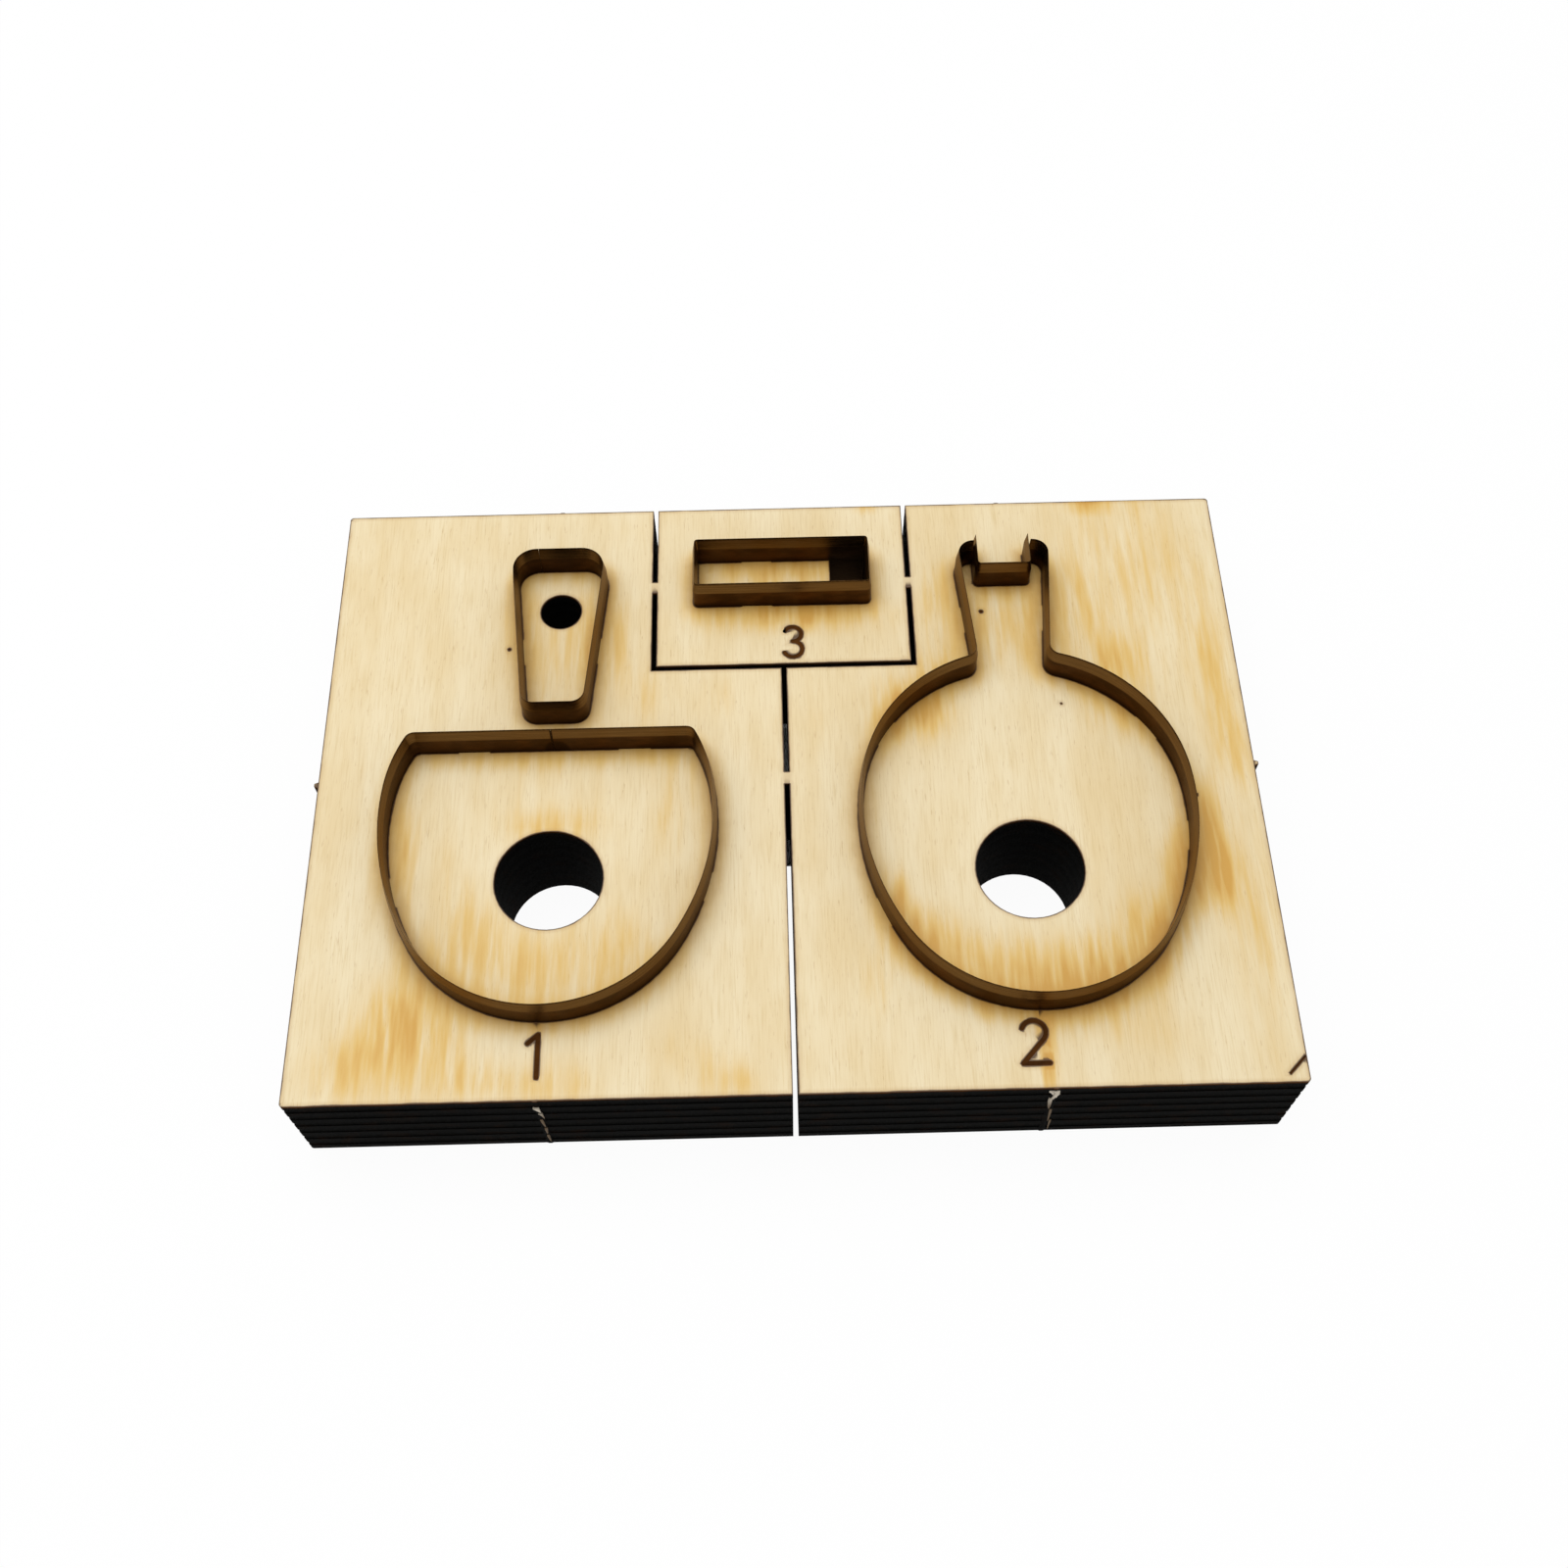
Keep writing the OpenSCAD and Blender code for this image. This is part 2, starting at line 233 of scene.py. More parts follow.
def cutGrid(piece):
    # cuts all faces along the grid lines, so that the scorch has vertices to sit on
    activate(piece)
    bpy.ops.object.mode_set(mode="EDIT")
    fineSteps = [(i + 0.5) * board["cornerGrid"] for i in range(board["cornerLines"])]
    fineLines = [[boardHigh.x - step for step in fineSteps], [boardLow.y + step for step in fineSteps]]
    for axis in range(2):
        count = int((boardHigh[axis] - boardLow[axis]) / board["grid"])
        gridLines = [boardLow[axis] + (i + board["gridShift"]) * board["grid"] for i in range(1, count)]
        normal = [1 - axis, axis, 0]
        for line in gridLines + fineLines[axis]:
            place = [0, 0, 0]
            place[axis] = line
            bpy.ops.mesh.select_all(action="SELECT")
            bpy.ops.mesh.bisect(plane_co=place, plane_no=normal)
    bpy.ops.mesh.select_all(action="SELECT")
    bpy.ops.mesh.quads_convert_to_tris()
    bpy.ops.object.mode_set(mode="OBJECT")


plywoodBoard = copyBoard()
carve(plywoodBoard, makeEngraver())
cutGrid(plywoodBoard)
print("board carved:", len(plywoodBoard.data.polygons), "faces")

# Scorch, stains and painted shade beside the rules on the veneers, kept as distances and amounts at the
# board's own vertices

scorch = {
    "faceDepth": 0.03 * mm,     # how far from the top or back a vertex still belongs to the outer veneer
    "flatness": 0.9,            # least upright share of the normal of a face on the outer veneer
    "splits": 2,                # rounds of extra vertices between neighbouring cuts
    "backStain": 0.3,
    "stains": [                 # amber smoke stains: x, y, half width, half length in mm, and strength
        (16, -23, 2.5, 6, 0.9), (21, -29, 3.5, 6, 0.9), (28, -33, 4.5, 6, 0.8), (36, -35, 6, 7, 0.8),
        (44, -33, 5, 7, 0.8), (51, -28, 4, 7, 1.0), (56, -18, 2.5, 8, 0.6), (61.5, -17, 3, 6, 1.2),
        (62, -8, 2, 5, 0.6), (52, 18, 4, 5, 0.7), (20, 12, 6, 6, 0.6), (24, 19, 4, 4, 0.5),
        (22, 9, 5, 4, 0.45), (50, 9, 5, 5, 0.45), (66, 18, 3, 9, 0.5), (67, 4, 3, 8, 0.6),
        (66, -26, 5, 22, 0.4), (56, 34, 14, 20, 0.46), (35, 26, 7, 9, 0.6), (24, 30, 3, 8, 0.5),
        (47, 28, 4, 12, 0.3), (51, 49.5, 5, 1.5, 1.0), (14, 49.5, 2, 1.2, 1.0), (34.6, -47, 0.9, 6, 1.6),
        (50, -43, 9, 5, 0.2), (12, -34, 3, 9, 0.4), (16, 12, 4, 8, 0.3), (5, 11, 2, 8, 0.3),
        (-56, -36, 4.5, 7, 0.6), (-50, -40, 5, 6, 0.6), (-44, -47, 5, 3, 0.55), (-33, -48, 6, 4, 0.5),
        (-15, -44, 8, 5, 0.3), (-8, -48, 4, 3, 0.5), (-45, -26, 6, 7, 0.45), (-35, -31, 10, 8, 0.55),
        (-25, -28, 6, 7, 0.45), (-56, -12, 3, 9, 0.5), (-49, -19, 2.5, 9, 0.4), (-35, 3, 21, 2.5, 0.25),
        (-17, -6, 3, 10, 0.4), (-35, -8, 7, 3, 0.5), (-40, 29, 2.5, 9, 0.45), (-31, 27, 3, 9, 0.5),
        (-35, 21, 4, 9, 0.4), (-21, 14, 3, 7, 0.4), (-11, 14, 5, 5, 0.3), (1, 28, 15, 3, 0.75),
        (0, 36, 12, 5, 0.7), (-25.5, 24, 1.8, 10, 0.5), (-38, -4, 16, 10, 0.2), (-61, -45, 7, 5, 0.55),
        (-52, -42, 9, 10, 0.3),
    ],
}


def surfaceTree(piece, test):
    # search tree over the faces of a mesh that pass the test
    faces = [list(face.vertices) for face in piece.data.polygons if test(face)]
    return BVHTree.FromPolygons([vertex.co for vertex in piece.data.vertices], faces)


def onVeneer(point):
    return point.z > boardTop - scorch["faceDepth"] or point.z < boardLow.z + scorch["faceDepth"]


def isVeneer(face):
    return abs(face.normal.z) > scorch["flatness"] and onVeneer(face.center)


def stainAt(point):
    amount = 0
    for x, y, halfWidth, halfLength, strength in scorch["stains"]:
        across = (point.x / mm - x) / halfWidth
        along = (point.y / mm - y) / halfLength
        amount += strength * math.exp(-across * across - along * along)
    return amount


def splitOpenEdges(piece):
    # an edge that crosses bare wood from one cut to another gets a vertex of its own
    cutTree = surfaceTree(piece, lambda face: not isVeneer(face))
    activate(piece)
    bpy.ops.object.mode_set(mode="EDIT")
    bpy.ops.mesh.select_mode(type="EDGE")
    bpy.ops.mesh.select_all(action="DESELECT")
    bpy.ops.object.mode_set(mode="OBJECT")
    spots = [vertex.co.copy() for vertex in piece.data.vertices]
    atCut = [onVeneer(spot) and cutTree.find_nearest(spot)[3] < scorch["faceDepth"] for spot in spots]
    for edge in piece.data.edges:
        first, second = edge.vertices
        middle = (spots[first] + spots[second]) / 2
        if atCut[first] and atCut[second] and onVeneer(middle):
            edge.select = cutTree.find_nearest(middle)[3] > scorch["faceDepth"]
    bpy.ops.object.mode_set(mode="EDIT")
    bpy.ops.mesh.subdivide(number_cuts=1)
    bpy.ops.mesh.select_all(action="SELECT")
    bpy.ops.mesh.quads_convert_to_tris()
    bpy.ops.object.mode_set(mode="OBJECT")


def writeScorch(piece):
    cutTree = surfaceTree(piece, lambda face: not isVeneer(face))
    ruleTrees = [surfaceTree(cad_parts[name], lambda face: True) for name in ruleNames]
    cutGap = []
    ruleGap = []
    stain = []
    for vertex in piece.data.vertices:
        spot = vertex.co
        flat = onVeneer(spot)
        cutGap.append(cutTree.find_nearest(spot)[3] / mm if flat else 0)
        ruleGap.append(min(tree.find_nearest(spot)[3] for tree in ruleTrees) / mm if flat else 0)
        stain.append(stainAt(spot) if spot.z > boardTop / 2 else scorch["backStain"])
    for name, values in (("cutGap", cutGap), ("ruleGap", ruleGap), ("stain", stain)):
        layer = piece.data.attributes.new(name, "FLOAT", "POINT")
        layer.data.foreach_set("value", values)


def sortFinishes(piece):
    # slot 0 is the outer veneers, slot 1 every cut and burnt face
    for face in piece.data.polygons:
        face.material_index = 0 if isVeneer(face) else 1


for _ in range(scorch["splits"]):
    splitOpenEdges(plywoodBoard)
writeScorch(plywoodBoard)
sortFinishes(plywoodBoard)
activate(plywoodBoard)
bpy.ops.object.shade_smooth_by_angle(angle=math.radians(board["smoothAngle"]))
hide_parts("die_board")
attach(plywoodBoard, "root")
print("scorch written on", len(plywoodBoard.data.vertices), "vertices")

# Node helpers


def addNode(tree, kind, inputs=None, **settings):
    node = tree.nodes.new(kind)
    for key, value in settings.items():
        setattr(node, key, value)
    for key, value in (inputs or {}).items():
        if isinstance(value, bpy.types.NodeSocket):
            tree.links.new(value, node.inputs[key])
        else:
            node.inputs[key].default_value = value
    return node


def calc(tree, operation, first, second=0.0):
    return addNode(tree, "ShaderNodeMath", {0: first, 1: second}, operation=operation).outputs[0]


def total(tree, first, second):
    return calc(tree, "ADD", first, second)


def product(tree, first, second):
    return calc(tree, "MULTIPLY", first, second)


def spread(tree, value, amount):
    # a noise value counted from its middle, times the amount
    return product(tree, calc(tree, "SUBTRACT", value, 0.5), amount)


def fade(tree, value, start, end, low=0.0, high=1.0):
    # smooth change from low to high while the value goes from start to end
    inputs = {"Value": value, "From Min": start, "From Max": end, "To Min": low, "To Max": high}
    return addNode(tree, "ShaderNodeMapRange", inputs, interpolation_type="SMOOTHSTEP").outputs["Result"]


def blend(tree, amount, under, over):
    return addNode(tree, "ShaderNodeMix", {0: amount, 6: under, 7: over}, data_type="RGBA").outputs[2]


def objectSpot(tree):
    return addNode(tree, "ShaderNodeTexCoord").outputs["Object"]


def axesOf(tree, vector):
    return addNode(tree, "ShaderNodeSeparateXYZ", {0: vector}).outputs


def cells(tree, vector, across, along, upward, detail=3.0, roughness=0.55):
    # noise whose cells measure these lengths in mm
    scale = tuple(1 / (size * mm) for size in (across, along, upward))
    stretched = addNode(tree, "ShaderNodeMapping", {"Vector": vector, "Scale": scale}).outputs[0]
    inputs = {"Vector": stretched, "Scale": 1.0, "Detail": detail, "Roughness": roughness}
    return addNode(tree, "ShaderNodeTexNoise", inputs).outputs["Fac"]


def addBump(tree, shader, relief, strength, depth):
    # the depth of the relief is in mm
    bump = addNode(tree, "ShaderNodeBump", {"Strength": strength, "Distance": depth * mm, "Height": relief})
    tree.links.new(bump.outputs[0], shader.inputs["Normal"])


def newGroup(name, labels):
    # a group that takes a place and puts out one value for each label
    group = bpy.data.node_groups.new(name, "ShaderNodeTree")
    group.interface.new_socket(name="Vector", in_out="INPUT", socket_type="NodeSocketVector")
    for label in labels:
        group.interface.new_socket(name=label, in_out="OUTPUT", socket_type="NodeSocketFloat")
    vector = addNode(group, "NodeGroupInput").outputs["Vector"]
    return group, vector, addNode(group, "NodeGroupOutput").inputs


def useGroup(tree, group, vector):
    return addNode(tree, "ShaderNodeGroup", {"Vector": vector}, node_tree=group).outputs


def newMaterial(name):
    material = bpy.data.materials.new(name)
    material.use_nodes = True
    tree = material.node_tree
    return material, tree, tree.nodes["Principled BSDF"]


# Birch grain: fine fibres, wider streaks, bands and soft clouds, all running front to back

birch = {
    "layers": {                 # cell sizes across, along and up in mm, and the noise's detail
        "Fibre": (0.22, 5.0, 0.22, 3.0),
        "Streak": (0.9, 11.0, 0.9, 3.0),
        "Flame": (1.7, 15.0, 1.7, 2.5),
        "Band": (5.0, 45.0, 5.0, 2.0),
        "Cloud": (9.0, 16.0, 9.0, 2.0),
    },
    "poreCells": (0.16, 1.9, 0.16, 1.0),
    "poreFade": (0.66, 0.76),
}


def makeGrain():
    group, vector, result = newGroup("birchGrain", [*birch["layers"], "Pore"])
    for name, sizes in birch["layers"].items():
        group.links.new(cells(group, vector, *sizes), result[name])
    pore = cells(group, vector, *birch["poreCells"])
    group.links.new(fade(group, pore, *birch["poreFade"]), result["Pore"])
    return group


birchGrain = makeGrain()

# Burnt wood: cloudy soot with fine stripes left by the laser

burn = {                        # cell sizes across, along and up in mm, and the noise's detail
    "Cloud": (3.0, 3.0, 2.0, 3.0),
    "Stripe": (0.25, 0.25, 14.0, 3.0),
    "Grit": (0.2, 0.2, 0.2, 2.0),
}


def makeSoot():
    group, vector, result = newGroup("laserSoot", burn)
    for name, sizes in burn.items():
        group.links.new(cells(group, vector, *sizes), result[name])
    return group


laserSoot = makeSoot()

# Outer veneers. A fade gives where it starts and ends, and its amounts there

veneer = {
    "pale": tone(243, 226, 187),
    "cream": tone(235, 212, 164),
    "fibre": tone(208, 176, 110),
    "amber": tone(229, 188, 100),
    "deepAmber": tone(213, 159, 66),
    # brown of smoke and pores, also used for the painted shade beside the rules
    "smokeAndShade": tone(172, 122, 50),
    "burnt": tone(66, 36, 13),
    "bandShare": 0.55,
    "cloudShare": 0.45,
    "paleFade": (0.34, 0.66),
    "fibreFade": (0.42, 0.8, 0.0, 0.36),
    "streakFade": (0.5, 0.8, 0.0, 0.16),
    "poreShare": 0.24,
    "haloFade": (0.0, 4.2, 0.55, 0.0),          # by the distance from a rule in mm
    "flameFeather": 3.0,                        # how strongly the grain breaks up a stain
    "streakFeather": 0.8,
    "haloFeather": 0.3,
    "amberFade": (0.05, 0.9, 0.0, 0.85),        # by the amount of stain
    "deepAmberFade": (0.65, 1.4, 0.0, 0.8),
    "ruleCloud": 1.6,                           # how far the painted shade's edge wanders, in mm
    "ruleShadeFade": (0.0, 2.2, 0.36, 0.0),     # painted shade beside a rule, by the distance from it in mm
    "cutCloud": 0.25,
    "cutSmokeFade": (0.05, 0.9, 0.3, 0.0),      # by the distance from a cut in mm
    "burntFade": (0.05, 0.26, 0.92, 0.0),
    "roughness": 0.3,
    "gritRoughness": 0.3,
    "gloss": 0.3,
    "fibreRelief": 0.6,
    "poreRelief": -0.5,
    "gritRelief": 0.5,
    "bump": (0.35, 0.05),                       # strength, and depth in mm
}


def makeVeneer():
    material, tree, shader = newMaterial("birch_veneer")
    spot = objectSpot(tree)
    grain = useGroup(tree, birchGrain, spot)
    soot = useGroup(tree, laserSoot, spot)
    own = {name: addNode(tree, "ShaderNodeAttribute", attribute_name=name).outputs["Fac"]
           for name in ("cutGap", "ruleGap", "stain")}

    # clean wood
    bands = product(tree, grain["Band"], veneer["bandShare"])
    bands = total(tree, bands, product(tree, grain["Cloud"], veneer["cloudShare"]))
    colour = blend(tree, fade(tree, bands, *veneer["paleFade"]), veneer["cream"], veneer["pale"])
    colour = blend(tree, fade(tree, grain["Fibre"], *veneer["fibreFade"]), colour, veneer["fibre"])
    colour = blend(tree, fade(tree, grain["Streak"], *veneer["streakFade"]), colour, veneer["fibre"])
    colour = blend(tree, product(tree, grain["Pore"], veneer["poreShare"]), colour, veneer["smokeAndShade"])

    # amber smoke stains with edges feathered along the grain
    halo = fade(tree, own["ruleGap"], *veneer["haloFade"])
    feather = spread(tree, grain["Flame"], veneer["flameFeather"])
    feather = total(tree, feather, spread(tree, grain["Streak"], veneer["streakFeather"]))
    stained = product(tree, own["stain"], total(tree, feather, 1.0))
    softened = total(tree, product(tree, feather, veneer["haloFeather"]), 1.0)
    amount = total(tree, stained, product(tree, halo, softened))
    colour = blend(tree, fade(tree, amount, *veneer["amberFade"]), colour, veneer["amber"])
    colour = blend(tree, fade(tree, amount, *veneer["deepAmberFade"]), colour, veneer["deepAmber"])

    # painted shade beside the rules, smoke and a scorched line at every cut
    nearRule = total(tree, own["ruleGap"], spread(tree, soot["Cloud"], veneer["ruleCloud"]))
    colour = blend(tree, fade(tree, nearRule, *veneer["ruleShadeFade"]), colour, veneer["smokeAndShade"])
    nearCut = total(tree, own["cutGap"], spread(tree, soot["Cloud"], veneer["cutCloud"]))
    colour = blend(tree, fade(tree, nearCut, *veneer["cutSmokeFade"]), colour, veneer["smokeAndShade"])
    colour = blend(tree, fade(tree, nearCut, *veneer["burntFade"]), colour, veneer["burnt"])
    tree.links.new(colour, shader.inputs["Base Color"])

    rough = total(tree, product(tree, soot["Grit"], veneer["gritRoughness"]), veneer["roughness"])
    tree.links.new(rough, shader.inputs["Roughness"])
    shader.inputs["Specular IOR Level"].default_value = veneer["gloss"]
    relief = product(tree, grain["Fibre"], veneer["fibreRelief"])
    relief = total(tree, relief, product(tree, grain["Pore"], veneer["poreRelief"]))
    relief = total(tree, relief, product(tree, soot["Grit"], veneer["gritRelief"]))
    addBump(tree, shader, relief, *veneer["bump"])
    return material


# Cut and burnt faces

char = {
    "longGrain": tone(12, 12, 11),
    "endGrain": tone(5, 5, 4),
    "brown": tone(32, 18, 8),
    "rim": tone(92, 54, 20),
    "plies": 13,
    "stripeFade": (0.45, 0.75, 0.0, 0.2),
    "brownFade": (0.5, 0.8, 0.0, 0.5),
    "rimDepth": 0.65,           # of the brown rim under the top face, in mm
    "rimCloud": 0.8,
    "rimShare": 0.9,
    "roughFade": (0.3, 0.7, 0.7, 0.95),
    "gloss": 0.02,
    "bump": (0.5, 0.08),
}


def makeChar():
    material, tree, shader = newMaterial("laser_char")
    spot = objectSpot(tree)
    soot = useGroup(tree, laserSoot, spot)
    height = product(tree, axesOf(tree, spot)["Z"], 1 / mm)
    topHeight = boardTop / mm

    # the veneers burn differently along and across their grain
    layer = calc(tree, "FLOOR", product(tree, height, char["plies"] * mm / boardTop))
    colour = blend(tree, calc(tree, "MODULO", layer, 2.0), char["longGrain"], char["endGrain"])
    colour = blend(tree, fade(tree, soot["Stripe"], *char["stripeFade"]), colour, char["endGrain"])
    colour = blend(tree, fade(tree, soot["Cloud"], *char["brownFade"]), colour, char["brown"])
    rim = total(tree, height, spread(tree, soot["Cloud"], char["rimCloud"]))
    rim = fade(tree, rim, topHeight - char["rimDepth"], topHeight, 0.0, char["rimShare"])
    colour = blend(tree, rim, colour, char["rim"])
    tree.links.new(colour, shader.inputs["Base Color"])
    tree.links.new(fade(tree, soot["Grit"], *char["roughFade"]), shader.inputs["Roughness"])
    shader.inputs["Specular IOR Level"].default_value = char["gloss"]
    addBump(tree, shader, soot["Grit"], *char["bump"])
    return material


plywoodBoard.data.materials.append(makeVeneer())
plywoodBoard.data.materials.append(makeChar())
print("plywood finished")

# Cutting rules: the imported solids with browned steel, a ground bevel and painted shade near the board

steel = {
    "body": tone(79, 53, 31),
    "bodyDark": tone(56, 37, 21),
    "bevel": tone(119, 92, 58),
    "bevelDark": tone(95, 72, 44),
    # painted shade where the rule stands in the board
    "soot": tone(40, 27, 18),
    # heat tint at the seams, also the painted shade on the strap's back wall
    "heatAndShade": tone(26, 12, 9),
    "edge": tone(38, 24, 12),
    "grazing": tone(232, 219, 204),
    "metallic": 1.0,
    "brushCells": (9.0, 9.0, 0.12, 4.0, 0.65),  # cell sizes in mm, detail and roughness of the noise
    "patchCells": (5.0, 5.0, 2.5, 3.0),
    "gritCells": (0.35, 0.35, 0.35, 2.0),
    "patchFade": (0.35, 0.7),
    "brushFade": (0.45, 0.75, 0.0, 0.4),
    "bevelFade": (0.35, 0.7),
    "bevelFoot": 21.6,                          # heights in mm
    "bevelBlend": 0.12,
    "tip": 23.8,
    "edgeReach": (0.5, 0.15),                   # below the tip, in mm
    "edgeGritFade": (0.3, 0.7, 0.5, 0.9),
    "footShadeReach": (0.3, 2.0),                    # of the painted shade, above the board, in mm
    "footShadePatch": 0.8,
    "footShadeShare": 0.8,
    "heatAndShadeMarks": [              # dark ends and heat tint at the seams, and painted shade on the strap's back wall: middle and half sizes in mm, strength
        (-34.9, 5.3, 22.0, 0.22, 2.0, 5.0, 0.9),
        (-34.4, 5.0, 18.2, 2.2, 1.4, 3.2, 0.9),
        (-13.65, 35.3, 22.0, 2.0, 0.22, 5.0, 0.5),
        # painted shade over the strap's back wall
        (-36.5, 38.5, 21.5, 7.5, 1.6, 4.0, 0.55),
    ],
    "heatAndShadeFade": (0.7, 1.0),                     # as shares of a mark's half sizes
    "roughFade": (0.2, 0.8, 0.24, 0.42),
    "gritRelief": 0.4,
    "bump": (0.25, 0.03),
}


def heatAndShadeMark(tree, spot, x, y, z, halfX, halfY, halfZ, strength):
    # an oval of full strength with a soft rim
    scale = tuple(1 / (size * mm) for size in (halfX, halfY, halfZ))
    shift = tuple(-place / size for place, size in ((x, halfX), (y, halfY), (z, halfZ)))
    near = addNode(tree, "ShaderNodeMapping", {"Vector": spot, "Location": shift, "Scale": scale}).outputs[0]
    reach = addNode(tree, "ShaderNodeVectorMath", {0: near}, operation="LENGTH").outputs["Value"]
    return fade(tree, reach, *steel["heatAndShadeFade"], strength, 0.0)


def makeSteel():
    material, tree, shader = newMaterial("browned_rule_steel")
    spot = objectSpot(tree)
    height = product(tree, axesOf(tree, spot)["Z"], 1 / mm)
    brush = cells(tree, spot, *steel["brushCells"])
    patch = cells(tree, spot, *steel["patchCells"])
    grit = cells(tree, spot, *steel["gritCells"])

    # flat body and ground bevel
    body = blend(tree, fade(tree, patch, *steel["patchFade"]), steel["bodyDark"], steel["body"])
    body = blend(tree, fade(tree, brush, *steel["brushFade"]), body, steel["bodyDark"])
    bevel = blend(tree, fade(tree, brush, *steel["bevelFade"]), steel["bevelDark"], steel["bevel"])
    foot = steel["bevelFoot"]
    onBevel = fade(tree, height, foot - steel["bevelBlend"], foot + steel["bevelBlend"])
    colour = blend(tree, onBevel, body, bevel)

    # painted shade near the board, a dark cutting edge, the heat marks and the painted shade on the strap's
    # back wall
    footShadeStart, footShadeEnd = [boardTop / mm + reach for reach in steel["footShadeReach"]]
    low = total(tree, height, product(tree, patch, steel["footShadePatch"]))
    colour = blend(tree, fade(tree, low, footShadeStart, footShadeEnd, steel["footShadeShare"], 0.0), colour, steel["soot"])
    edgeStart, edgeEnd = [steel["tip"] - reach for reach in steel["edgeReach"]]
    edge = fade(tree, height, edgeStart, edgeEnd)
    edge = product(tree, edge, fade(tree, grit, *steel["edgeGritFade"]))
    colour = blend(tree, edge, colour, steel["edge"])
    for mark in steel["heatAndShadeMarks"]:
        colour = blend(tree, heatAndShadeMark(tree, spot, *mark), colour, steel["heatAndShade"])
    tree.links.new(colour, shader.inputs["Base Color"])

    shader.inputs["Metallic"].default_value = steel["metallic"]
    shader.inputs["Specular Tint"].default_value = steel["grazing"]
    tree.links.new(fade(tree, brush, *steel["roughFade"]), shader.inputs["Roughness"])
    relief = total(tree, brush, product(tree, grit, steel["gritRelief"]))
    addBump(tree, shader, relief, *steel["bump"])
    return material


ruleSteel = makeSteel()
for name in ruleNames:
    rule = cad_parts[name]
    for slot in rule.material_slots:
        slot.material = ruleSteel
    print("finished", name)

# Torn fibres where the holding tabs of the front edge broke off

tear = {
    "slivers": [                # x, top, width, height and thickness in mm, and how far the point leans in x
        (35.2, 17.2, 1.5, 2.6, 0.3, 0.5),
        (35.7, 16.4, 0.7, 3.4, 0.25, -0.6),
        (35.0, 14.2, 0.5, 4.5, 0.16, 0.3),
        (35.6, 9.6, 0.35, 5.2, 0.14, 0.2),
        (36.1, 5.0, 0.3, 4.4, 0.12, 0.1),
        (-35.5, 15.6, 0.8, 2.0, 0.28, 0.4),
        (-35.2, 13.2, 0.6, 2.2, 0.22, 0.3),
        (-35.4, 10.6, 0.35, 3.4, 0.15, 0.2),
        (-35.2, 7.0, 0.4, 2.8, 0.16, -0.1),
        (-35.3, 3.9, 0.35, 3.2, 0.14, 0.1),
    ],
    "sunk": 0.05 * mm,          # how deep a sliver sits in the edge
    "taper": (0.15, 0.5, 1),    # size of the point as a share of the sliver
    "cuts": 3,
    "raggedness": 0.6,
    "pale": tone(214, 203, 184),
    "dim": tone(96, 76, 50),
    "paleFade": (10.5 * mm, 15.5 * mm),     # by the height above the back
    "fibreFade": (0.45, 0.7, 0.0, 0.6),
    "grainTurn": 90,            # turns the grain upright
    "rough": 0.8,
    "bump": (0.5, 0.05),
}


def makeSliver(seed, x, top, width, height, thickness, lean):
    # a flat chip that narrows to a point, with torn outlines
    bpy.ops.object.select_all(action="DESELECT")
    middle = Vector((x * mm, boardLow.y + tear["sunk"] - thickness * mm / 2, (top - height / 2) * mm))
    bpy.ops.mesh.primitive_cube_add(size=1, location=middle)
    chip = bpy.context.object
    chip.scale = (width * mm, thickness * mm, height * mm)
    applyPlace(chip)
    pickVertices(chip, lambda corner: corner.z < middle.z)
    bpy.ops.transform.resize(value=tear["taper"], center_override=middle)
    bpy.ops.transform.translate(value=(lean * mm, thickness * mm / 4, 0))
    bpy.ops.mesh.select_all(action="SELECT")
    bpy.ops.mesh.subdivide(number_cuts=tear["cuts"], fractal=tear["raggedness"], seed=seed)
    bpy.ops.object.mode_set(mode="OBJECT")
    return chip


def makeTornWood():
    material, tree, shader = newMaterial("torn_birch")
    spot = objectSpot(tree)
    turn = (math.radians(tear["grainTurn"]), 0, 0)
    turned = addNode(tree, "ShaderNodeMapping", {"Vector": spot, "Rotation": turn}).outputs[0]
    grain = useGroup(tree, birchGrain, turned)
    colour = blend(tree, fade(tree, axesOf(tree, spot)["Z"], *tear["paleFade"]), tear["dim"], tear["pale"])
    colour = blend(tree, fade(tree, grain["Fibre"], *tear["fibreFade"]), colour, tear["dim"])
    tree.links.new(colour, shader.inputs["Base Color"])
    shader.inputs["Roughness"].default_value = tear["rough"]
    addBump(tree, shader, grain["Fibre"], *tear["bump"])
    return material


tornFibres = joinPieces([makeSliver(i, *row) for i, row in enumerate(tear["slivers"])], "torn_fibres")
tornFibres.data.materials.append(makeTornWood())
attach(tornFibres, "root")
print("torn fibres:", len(tornFibres.data.polygons), "faces")

# Floor, light and camera

stage = {
    "floorSize": 4.0,
    "floorDrop": 0.02 * mm,
    "white": (1, 1, 1, 1),
    "whiteStrength": 1.0,       # of the background as the camera sees it
    "floorGlow": 0.95,
    "slitShade": (3.0 * mm, -6.4 * mm),     # half width and front end of the unlit floor under the slit
    "ambient": 0.48,
    "lampPower": 2.9,
    "lampSize": (0.7, 0.6),
    "lampPlace": (-0.1, 0.12, 0.65),
}


def cameraSees(tree):
    # 1 for rays that show the background: straight, refracted or mirrored
    rays = addNode(tree, "ShaderNodeLightPath").outputs
    straight = calc(tree, "MAXIMUM", rays["Is Camera Ray"], rays["Is Transmission Ray"])
    return calc(tree, "MAXIMUM", straight, rays["Is Glossy Ray"])


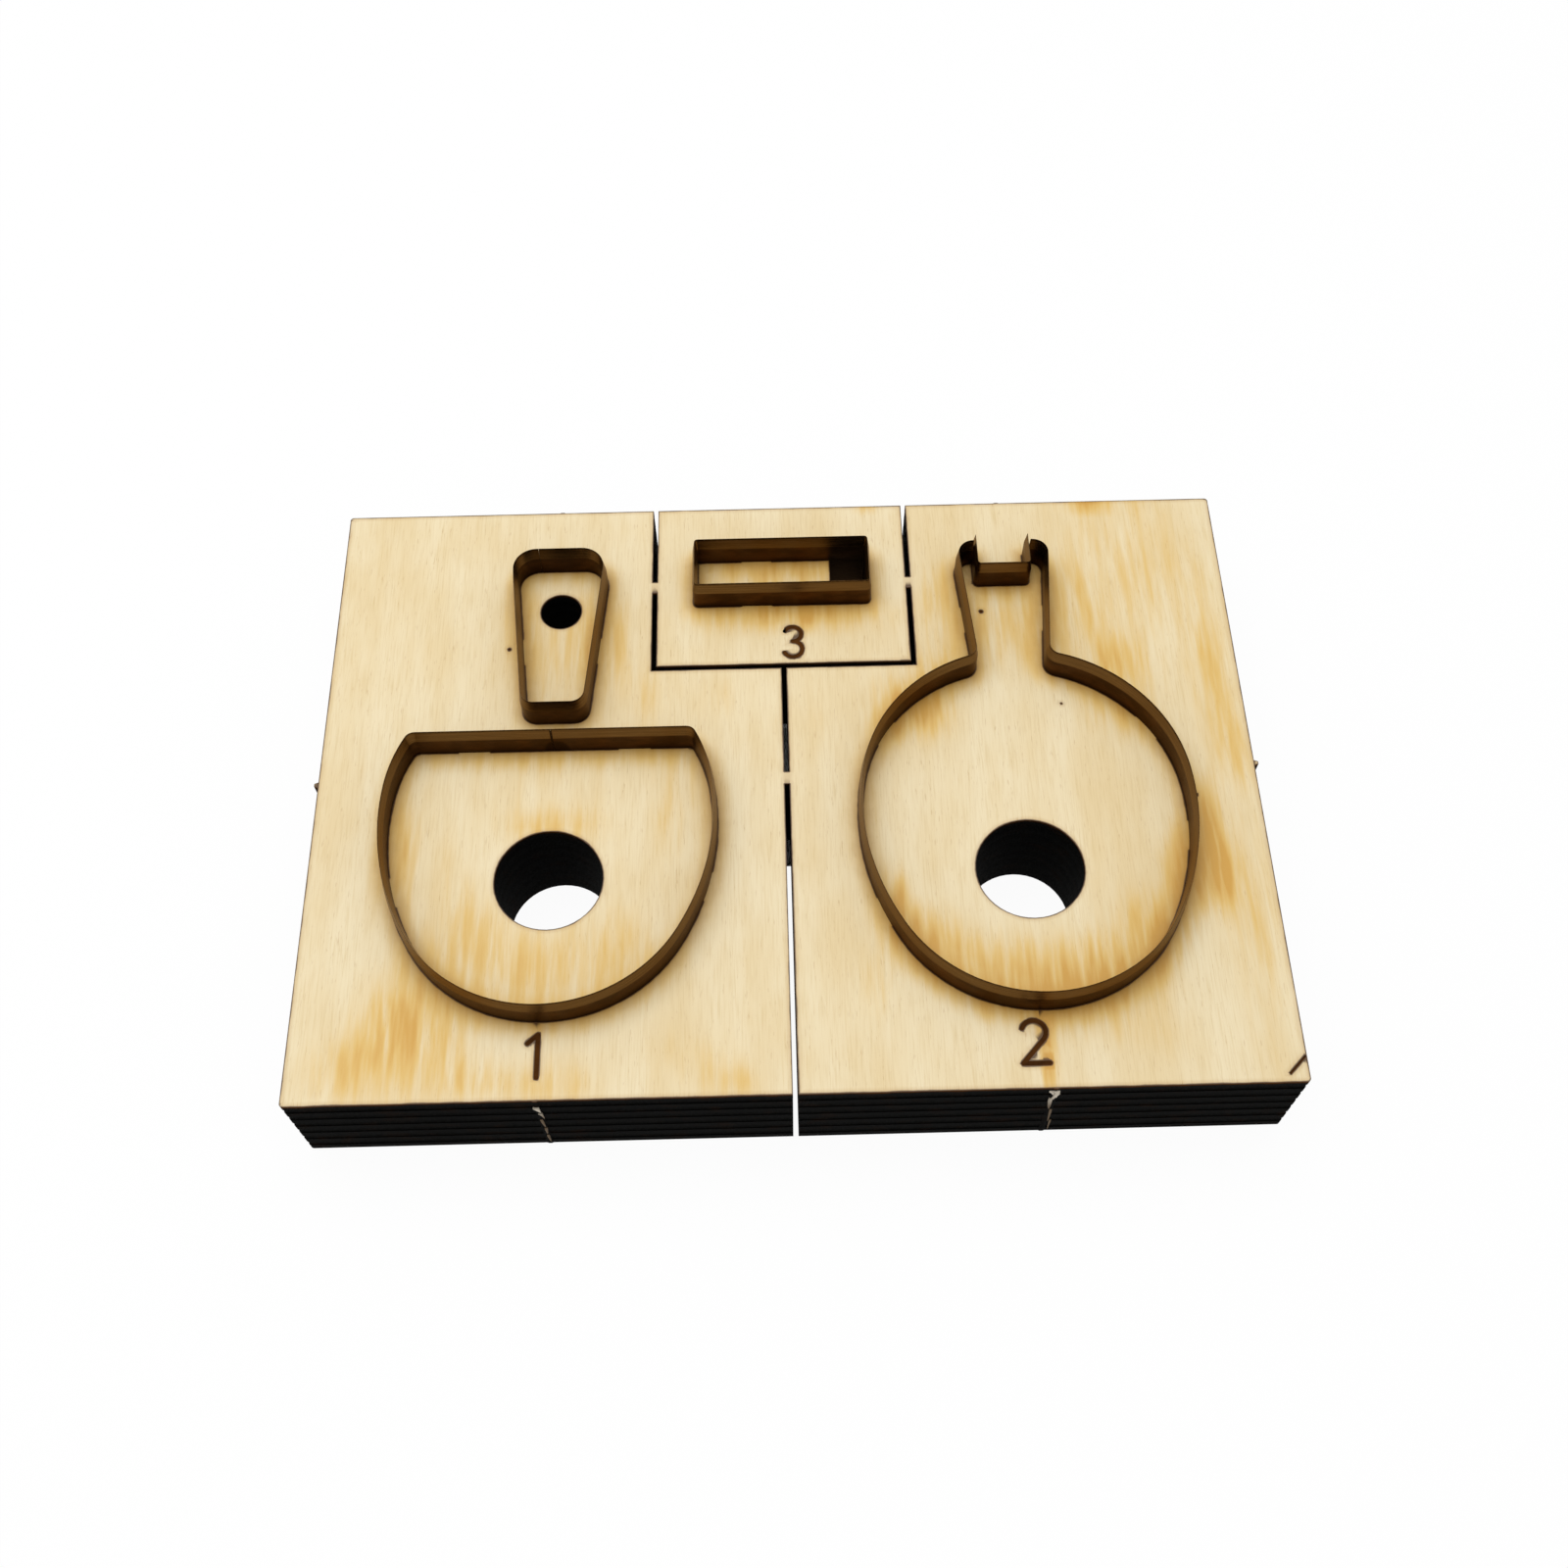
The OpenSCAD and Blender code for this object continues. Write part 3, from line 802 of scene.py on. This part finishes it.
def makePaleFloor():
    material, tree, _ = newMaterial("pale_floor")
    tree.nodes.clear()
    matte = addNode(tree, "ShaderNodeBsdfDiffuse", {"Color": stage["white"]})
    glow = addNode(tree, "ShaderNodeEmission", {"Color": stage["white"], "Strength": stage["whiteStrength"]})
    place = axesOf(tree, objectSpot(tree))
    halfWidth, frontEnd = stage["slitShade"]
    aside = calc(tree, "GREATER_THAN", calc(tree, "ABSOLUTE", place["X"]), halfWidth)
    ahead = calc(tree, "LESS_THAN", place["Y"], frontEnd)
    behind = calc(tree, "GREATER_THAN", place["Y"], boardHigh.y)
    lit = calc(tree, "MAXIMUM", calc(tree, "MAXIMUM", aside, ahead), behind)
    share = product(tree, product(tree, cameraSees(tree), lit), stage["floorGlow"])
    mixed = addNode(tree, "ShaderNodeMixShader", {0: share, 1: matte.outputs[0], 2: glow.outputs[0]})
    addNode(tree, "ShaderNodeOutputMaterial", {"Surface": mixed.outputs[0]})
    return material


def makeFloor():
    bpy.ops.object.select_all(action="DESELECT")
    level = boardLow.z - stage["floorDrop"]
    bpy.ops.mesh.primitive_plane_add(size=stage["floorSize"], location=(0, 0, level))
    floor = bpy.context.object
    floor.name = "floor"
    applyPlace(floor)
    floor.data.materials.append(makePaleFloor())


def makeWorld():
    world = bpy.data.worlds.new("studio")
    world.use_nodes = True
    bpy.context.scene.world = world
    tree = world.node_tree
    background = tree.nodes["Background"]
    background.inputs["Color"].default_value = stage["white"]
    strength = fade(tree, cameraSees(tree), 0.0, 1.0, stage["ambient"], stage["whiteStrength"])
    tree.links.new(strength, background.inputs["Strength"])


def makeLamp():
    bpy.ops.object.light_add(type="AREA", location=stage["lampPlace"])
    lamp = bpy.context.object
    lamp.name = "softbox"
    lamp.data.shape = "RECTANGLE"
    lamp.data.size, lamp.data.size_y = stage["lampSize"]
    lamp.data.energy = stage["lampPower"]
    aim = Vector((0, 0, boardTop)) - Vector(stage["lampPlace"])
    lamp.rotation_euler = aim.to_track_quat("-Z", "Y").to_euler()


view = {
    "place": (-1.77 * mm, -128.98 * mm, 244.28 * mm),
    "turn": (29.35, 0.424, -1.3415),
    "lens": 40.0,
    "sensor": 36.0,
    "clipStart": 10 * mm,
}


def makeCamera():
    turn = [math.radians(angle) for angle in view["turn"]]
    bpy.ops.object.camera_add(location=view["place"], rotation=turn)
    camera = bpy.context.object
    camera.data.lens = view["lens"]
    camera.data.sensor_width = view["sensor"]
    camera.data.clip_start = view["clipStart"]
    bpy.context.scene.camera = camera


makeFloor()
makeWorld()
makeLamp()
makeCamera()
bpy.context.scene.view_settings.view_transform = "Standard"
print("stage set")
